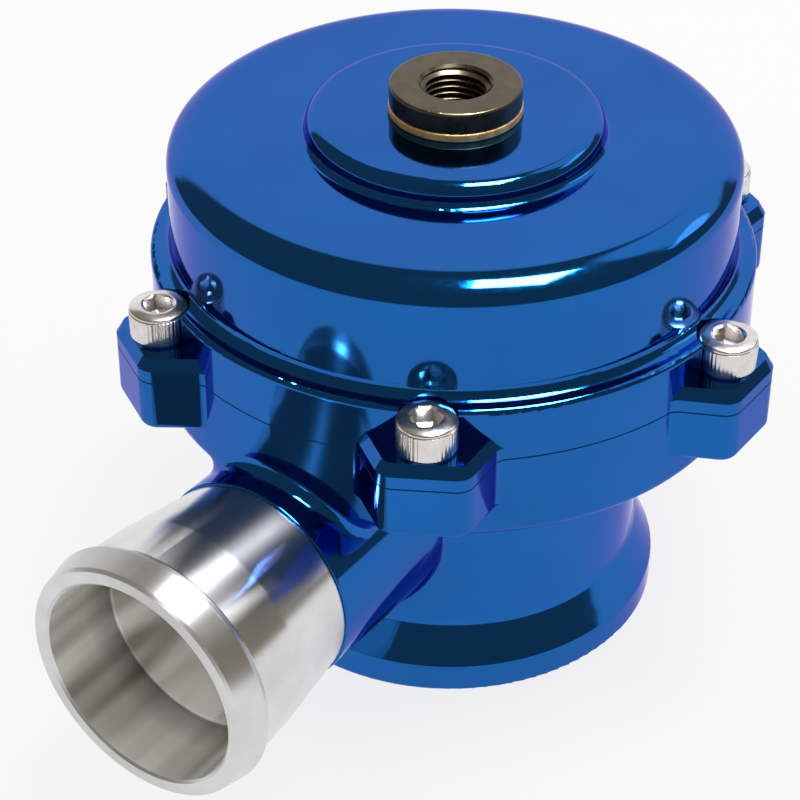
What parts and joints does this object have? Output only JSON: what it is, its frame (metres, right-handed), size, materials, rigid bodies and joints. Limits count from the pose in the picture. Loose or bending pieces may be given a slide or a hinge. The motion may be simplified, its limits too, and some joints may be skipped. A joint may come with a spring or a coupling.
{
  "type": "blow-off valve",
  "caption": "Round blue anodised pressure relief valve with a lobed bolted cap, a clamp foot and an angled hose outlet at its side.",
  "frame": {"origin": "centre of the inlet bore in the foot's flat face", "axes": "+Z along the valve's axis towards the cap, +X along the outlet towards its mouth"},
  "size_m": [0.1226, 0.1028, 0.0866],
  "materials": {
    "blue_anodised": "polished and anodised blue, glossy",
    "turned_aluminium": "fine turned near the boss, polished at the mouth",
    "plain_aluminium": "machined",
    "stainless_steel": "bright stainless",
    "spring_steel": "drawn wire",
    "dark_fitting": "dark bronze-grey plated",
    "brass_washer": "satin",
    "bronze": "machined",
    "black_rubber": "matte",
    "diaphragm_rubber": "matte, fabric reinforced"
  },
  "bodies": {
    "body": {"housing": "blue_anodised", "cap": "blue_anodised", "cap_screws": "stainless_steel", "outlet_tube": "turned_aluminium", "outlet_o_ring": "black_rubber", "port_fitting": "dark_fitting", "port_washer": "brass_washer", "stem_bushing": "bronze", "stem_seal": "black_rubber", "seal_retainer": "spring_steel", "inlet_o_ring": "black_rubber", "diaphragm": "diaphragm_rubber", "valve_spring": "spring_steel"},
    "valve": {"valve_head": "plain_aluminium", "valve_o_ring": "black_rubber", "valve_screw": "stainless_steel", "valve_stem": "stainless_steel", "lower_plate": "plain_aluminium", "upper_plate": "plain_aluminium", "stem_washer": "stainless_steel", "stem_nut": "stainless_steel"}
  },
  "joints": [
    {"name": "valve_lift", "type": "slide", "parent": "body", "child": "valve", "axis": [0, 0, 1], "range_m": [0, 0.008], "stiffness_N_per_m": 4000, "springref_m": -0.015, "deforming": ["valve_spring", "diaphragm"]}
  ]
}
